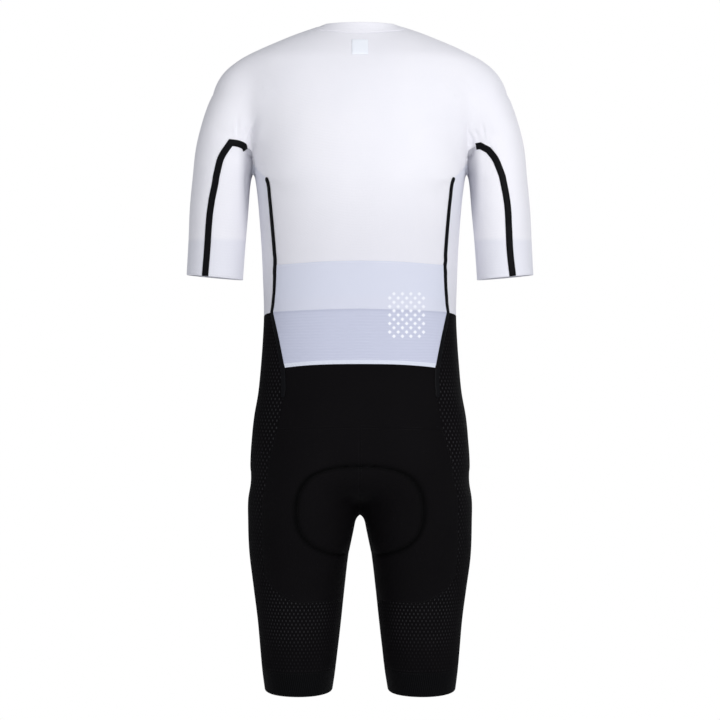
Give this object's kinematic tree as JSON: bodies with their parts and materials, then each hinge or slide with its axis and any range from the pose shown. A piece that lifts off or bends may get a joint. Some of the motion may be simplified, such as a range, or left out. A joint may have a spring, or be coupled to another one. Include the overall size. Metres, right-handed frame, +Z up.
{
  "type": "cycling skinsuit",
  "caption": "Short-sleeved one-piece cycling skinsuit, filled out as worn: white top with taped seams, back pocket, black shorts, seat pad and front zip.",
  "frame": {"origin": "midway between the shoulders at the base of the neck, where the wearer holds the garment up", "axes": "+X to the wearer's left, -Y to the wearer's front, +Z up"},
  "size_m": [0.5204, 0.2367, 1.0036],
  "materials": {
    "white_knit": "thin white knit, faintly ribbed on the back, matt",
    "pocket_smooth": "smooth pale blue-grey knit with a soft sheen",
    "pocket_ribbed": "blue-grey knit with fine level ribs",
    "pocket_edge": "smooth pale binding",
    "black_knit": "smooth black knit, matt",
    "black_mesh": "black knit with staggered dimples",
    "gripper": "plain black elastic with faint upright ribs",
    "tape": "black bonded tape, slightly glossy",
    "pad_foam": "black brushed knit over foam",
    "patch": "plain pale bonded patch",
    "zip_cloth": "pale woven zip tape",
    "zip_metal": "satin metal"
  },
  "bodies": {
    "suit": {"back_panel": "white_knit", "shoulder_left": "white_knit", "shoulder_right": "white_knit", "sleeve_left": "white_knit", "sleeve_right": "white_knit", "collar": "white_knit", "front_left": "white_knit", "front_right": "white_knit", "under_sleeve_left": "white_knit", "under_sleeve_right": "white_knit", "side_upper_left": "white_knit", "side_upper_right": "white_knit", "side_lower_left": "black_mesh", "side_lower_right": "black_mesh", "back_yoke": "black_knit", "seat_left": "black_knit", "seat_right": "black_knit", "front_lower_left": "black_knit", "front_lower_right": "black_knit", "leg_gripper_left": "gripper", "leg_gripper_right": "gripper", "pocket_upper": "pocket_smooth", "pocket_lower": "pocket_ribbed", "pocket_hem": "pocket_edge", "back_tape_left": "tape", "back_tape_right": "tape", "sleeve_tape_left": "tape", "sleeve_tape_right": "tape", "neck_patch": "patch", "chamois_pad": "pad_foam", "zip_tape_left": "zip_cloth", "zip_tape_right": "zip_cloth", "zip_slider": "zip_metal", "zip_stop": "zip_metal"},
    "pull": {"zip_pull": "zip_metal"}
  },
  "joints": [
    {"name": "zip_pull_swing", "type": "hinge", "parent": "suit", "child": "pull", "pos_m": [0, -0.07393, -0.03751], "axis": [-1, 0, 0], "range_deg": [0, 160]}
  ]
}
